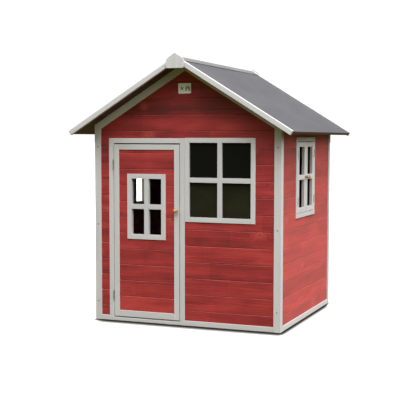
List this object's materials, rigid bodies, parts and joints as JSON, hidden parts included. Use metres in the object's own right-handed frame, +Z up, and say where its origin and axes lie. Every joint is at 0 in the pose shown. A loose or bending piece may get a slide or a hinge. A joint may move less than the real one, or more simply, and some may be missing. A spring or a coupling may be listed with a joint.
{
  "type": "timber playhouse",
  "caption": "Small boarded timber playhouse with a gabled felt roof, a hinged door with its own window, a fixed front window and pairs of side window sashes that open.",
  "frame": {"origin": "on the ground at the centre of the footprint", "axes": "+Z up; the front gable with the door faces -Y; +X is to the right of someone facing the door"},
  "size_m": [1.4, 1.4, 1.6],
  "materials": {
    "red_timber": "red stain, satin, grain showing",
    "grey_timber": "light grey opaque stain, satin",
    "roof_boards": "dark brown stain",
    "floor_timber": "bare planed softwood",
    "knob_timber": "clear varnish",
    "roof_felt": "mineral-surfaced bitumen felt, matt grey",
    "window_sheet": "smoked acrylic sheet, polished",
    "hinge_steel": "zinc plated",
    "plaque": "matt"
  },
  "bodies": {
    "house": {"front_wall": "red_timber", "rear_wall": "red_timber", "left_wall": "red_timber", "right_wall": "red_timber", "corner_trim_front_left": "grey_timber", "corner_trim_front_right": "grey_timber", "corner_trim_rear_left": "grey_timber", "corner_trim_rear_right": "grey_timber", "base_rail_front": "grey_timber", "base_rail_rear": "grey_timber", "base_rail_left": "grey_timber", "base_rail_right": "grey_timber", "rake_trim_front_left": "grey_timber", "rake_trim_front_right": "grey_timber", "rake_trim_rear_left": "grey_timber", "rake_trim_rear_right": "grey_timber", "door_trim_left": "grey_timber", "door_trim_right": "grey_timber", "door_trim_head": "grey_timber", "front_window_frame": "grey_timber", "front_window_pane": "window_sheet", "gable_plaque": "plaque", "window_frame_left": "grey_timber", "window_frame_right": "grey_timber", "roof_deck_left": "roof_boards", "roof_deck_right": "roof_boards", "roof_felt_left": "roof_felt", "roof_felt_right": "roof_felt", "ridge_cap": "roof_felt", "barge_board_front_left": "grey_timber", "barge_board_front_right": "grey_timber", "barge_board_rear_left": "grey_timber", "barge_board_rear_right": "grey_timber", "apex_plate_front": "grey_timber", "apex_plate_rear": "grey_timber", "floor": "floor_timber", "door_hinge_fixed_bottom": "hinge_steel", "door_hinge_fixed_top": "hinge_steel", "sash_hinge_left_front_bottom": "hinge_steel", "sash_hinge_left_front_top": "hinge_steel", "sash_hinge_left_rear_bottom": "hinge_steel", "sash_hinge_left_rear_top": "hinge_steel", "sash_hinge_right_front_bottom": "hinge_steel", "sash_hinge_right_front_top": "hinge_steel", "sash_hinge_right_rear_bottom": "hinge_steel", "sash_hinge_right_rear_top": "hinge_steel"},
    "door": {"door_frame": "grey_timber", "door_panel": "red_timber", "door_window_frame": "grey_timber", "door_knob": "knob_timber", "door_hinge_leaf_bottom": "hinge_steel", "door_hinge_leaf_top": "hinge_steel"},
    "left_front_sash": {"sash_left_front": "grey_timber", "sash_knob_left_front": "knob_timber"},
    "left_rear_sash": {"sash_left_rear": "grey_timber", "sash_knob_left_rear": "knob_timber"},
    "right_front_sash": {"sash_right_front": "grey_timber", "sash_knob_right_front": "knob_timber"},
    "right_rear_sash": {"sash_right_rear": "grey_timber", "sash_knob_right_rear": "knob_timber"}
  },
  "joints": [
    {"name": "door_hinge", "type": "hinge", "parent": "house", "child": "door", "pos_m": [-0.4665, -0.559, 0.5], "axis": [0, 0, -1], "range_deg": [0, 140]},
    {"name": "left_front_sash_hinge", "type": "hinge", "parent": "house", "child": "left_front_sash", "pos_m": [-0.599, -0.2205, 0.877], "axis": [0, 0, 1], "range_deg": [0, 140]},
    {"name": "left_rear_sash_hinge", "type": "hinge", "parent": "house", "child": "left_rear_sash", "pos_m": [-0.599, 0.1375, 0.877], "axis": [0, 0, -1], "range_deg": [0, 140]},
    {"name": "right_front_sash_hinge", "type": "hinge", "parent": "house", "child": "right_front_sash", "pos_m": [0.599, -0.2205, 0.877], "axis": [0, 0, -1], "range_deg": [0, 140]},
    {"name": "right_rear_sash_hinge", "type": "hinge", "parent": "house", "child": "right_rear_sash", "pos_m": [0.599, 0.1375, 0.877], "axis": [0, 0, 1], "range_deg": [0, 140]}
  ]
}
